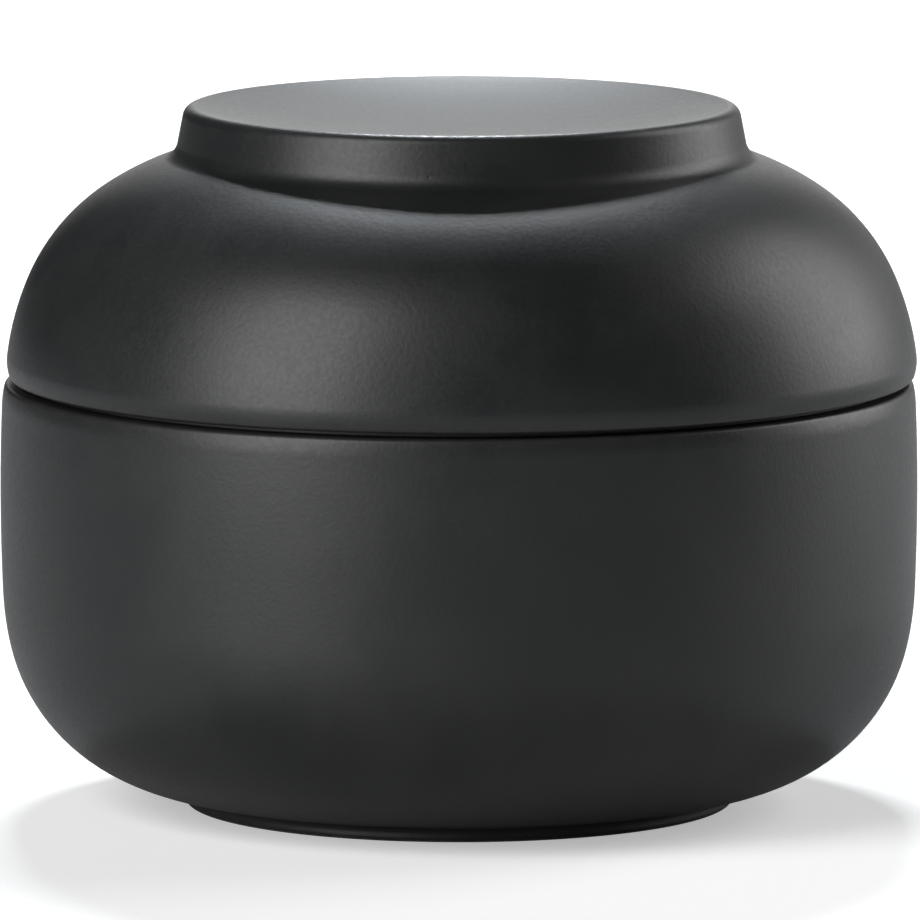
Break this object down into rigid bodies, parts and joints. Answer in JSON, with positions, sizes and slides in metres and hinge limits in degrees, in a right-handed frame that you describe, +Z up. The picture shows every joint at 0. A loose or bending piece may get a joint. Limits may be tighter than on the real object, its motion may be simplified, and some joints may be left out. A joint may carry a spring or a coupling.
{
  "type": "sugar bowl",
  "caption": "Round matt black stoneware sugar bowl on a low foot ring, with a domed lift-off lid that has a broad dished grip ring.",
  "frame": {"origin": "centre of the foot ring, on the surface the bowl stands on", "axes": "+Z up along the bowl's turning axis, through the lid's grip ring; the bowl is round, and its resting lid is 0.25 mm off centre towards +X"},
  "size_m": [0.0822, 0.0822, 0.0628],
  "materials": {
    "stoneware": "matt black glaze, satin under light",
    "silicone": "matt black silicone rubber"
  },
  "bodies": {
    "bowl": {"bowl": "stoneware"},
    "lid": {"lid": "stoneware", "lid_seal": "silicone"}
  },
  "joints": [
    {"name": "lid_lift", "type": "slide", "parent": "bowl", "child": "lid", "axis": [0, 0, 1], "range_m": [0, 0.08]}
  ]
}
